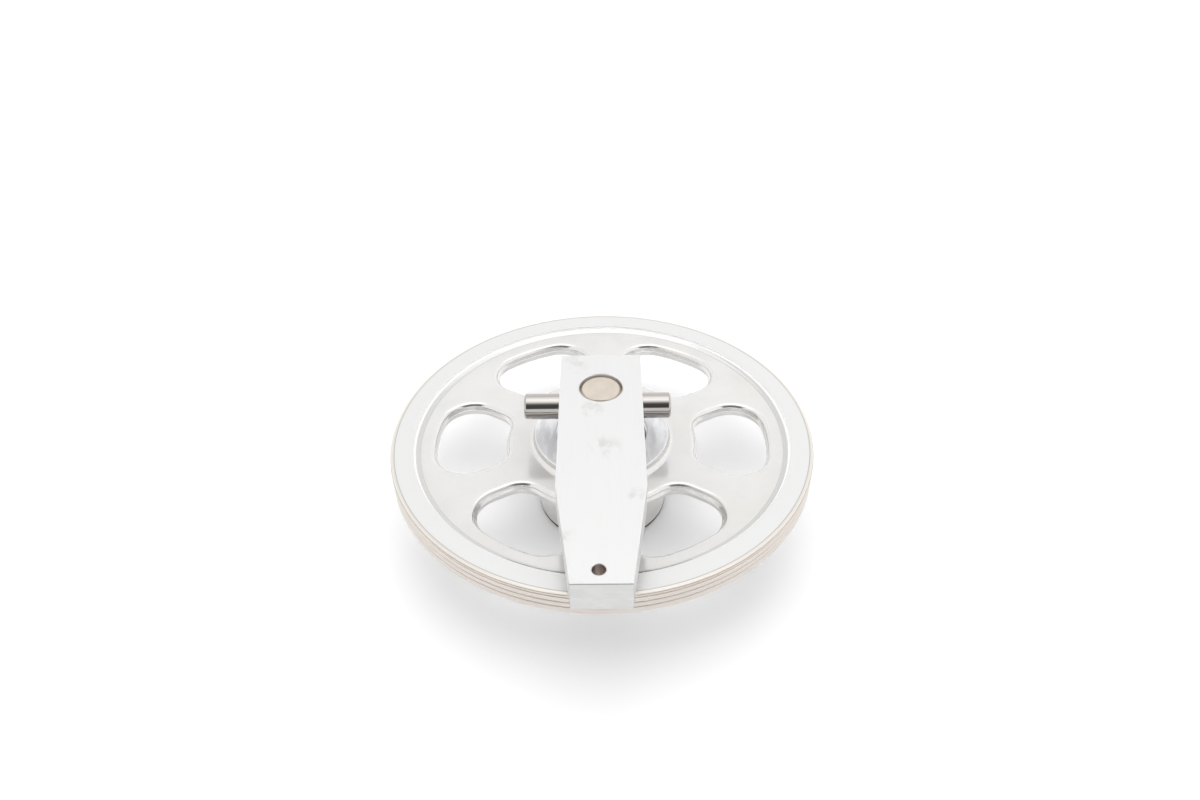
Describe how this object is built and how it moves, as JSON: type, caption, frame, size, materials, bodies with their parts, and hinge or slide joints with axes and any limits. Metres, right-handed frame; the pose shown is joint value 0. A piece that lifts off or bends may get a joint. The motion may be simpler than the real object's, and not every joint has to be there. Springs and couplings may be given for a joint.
{
  "type": "belt pulley with lever arm",
  "caption": "Grooved aluminium belt pulley with a windowed web, turning on two ball bearings about a shaft that is cross-pinned to a flat tapered lever arm.",
  "frame": {"origin": "on the pulley's axis, in the middle of the grooved rim", "axes": "+Z along the shaft towards the lever arm, -Y towards the arm's free end, +X along the cross pin"},
  "size_m": [0.2, 0.217, 0.0694],
  "materials": {
    "cast_aluminium": "cast and polished, with turned rim faces",
    "sawn_aluminium": "mill finish with smudges and a sawn end",
    "turned_steel": "turned, lightly tarnished",
    "dark_steel": "ground and polished",
    "zinc_steel": "zinc plated",
    "spring_steel": "dark phosphated",
    "bearing_steel": "ground",
    "pressed_steel": "pressed sheet, satin"
  },
  "bodies": {
    "lever": {"lever_arm": "sawn_aluminium", "axle_shaft": "turned_steel", "cross_pin": "dark_steel", "arm_spacer_bush": "zinc_steel", "inner_ring_spacer": "zinc_steel", "end_washer": "zinc_steel", "shaft_circlip": "spring_steel", "upper_inner_ring": "bearing_steel", "lower_inner_ring": "bearing_steel"},
    "pulley": {"pulley_wheel": "cast_aluminium", "upper_bore_circlip": "spring_steel", "lower_bore_circlip": "spring_steel", "upper_outer_ring": "bearing_steel", "lower_outer_ring": "bearing_steel", "upper_top_shield": "pressed_steel", "upper_bottom_shield": "pressed_steel", "lower_top_shield": "pressed_steel", "lower_bottom_shield": "pressed_steel"},
    "upper_cage": {"upper_balls": "bearing_steel", "upper_cage_top_half": "pressed_steel", "upper_cage_bottom_half": "pressed_steel", "upper_cage_rivets": "pressed_steel"},
    "lower_cage": {"lower_balls": "bearing_steel", "lower_cage_top_half": "pressed_steel", "lower_cage_bottom_half": "pressed_steel", "lower_cage_rivets": "pressed_steel"}
  },
  "joints": [
    {"name": "pulley_spin", "type": "hinge", "parent": "lever", "child": "pulley", "pos_m": [0, 0, 0], "axis": [0, 0, 1], "continuous": true},
    {"name": "upper_cage_spin", "type": "hinge", "parent": "lever", "child": "upper_cage", "pos_m": [0, 0, -0.003], "axis": [0, 0, 1], "continuous": true},
    {"name": "lower_cage_spin", "type": "hinge", "parent": "lever", "child": "lower_cage", "pos_m": [0, 0, -0.026], "axis": [0, 0, 1], "continuous": true}
  ],
  "couplings": [
    {"joint": "upper_cage_spin", "follows": "pulley_spin", "ratio": 0.6024},
    {"joint": "lower_cage_spin", "follows": "pulley_spin", "ratio": 0.6024}
  ]
}
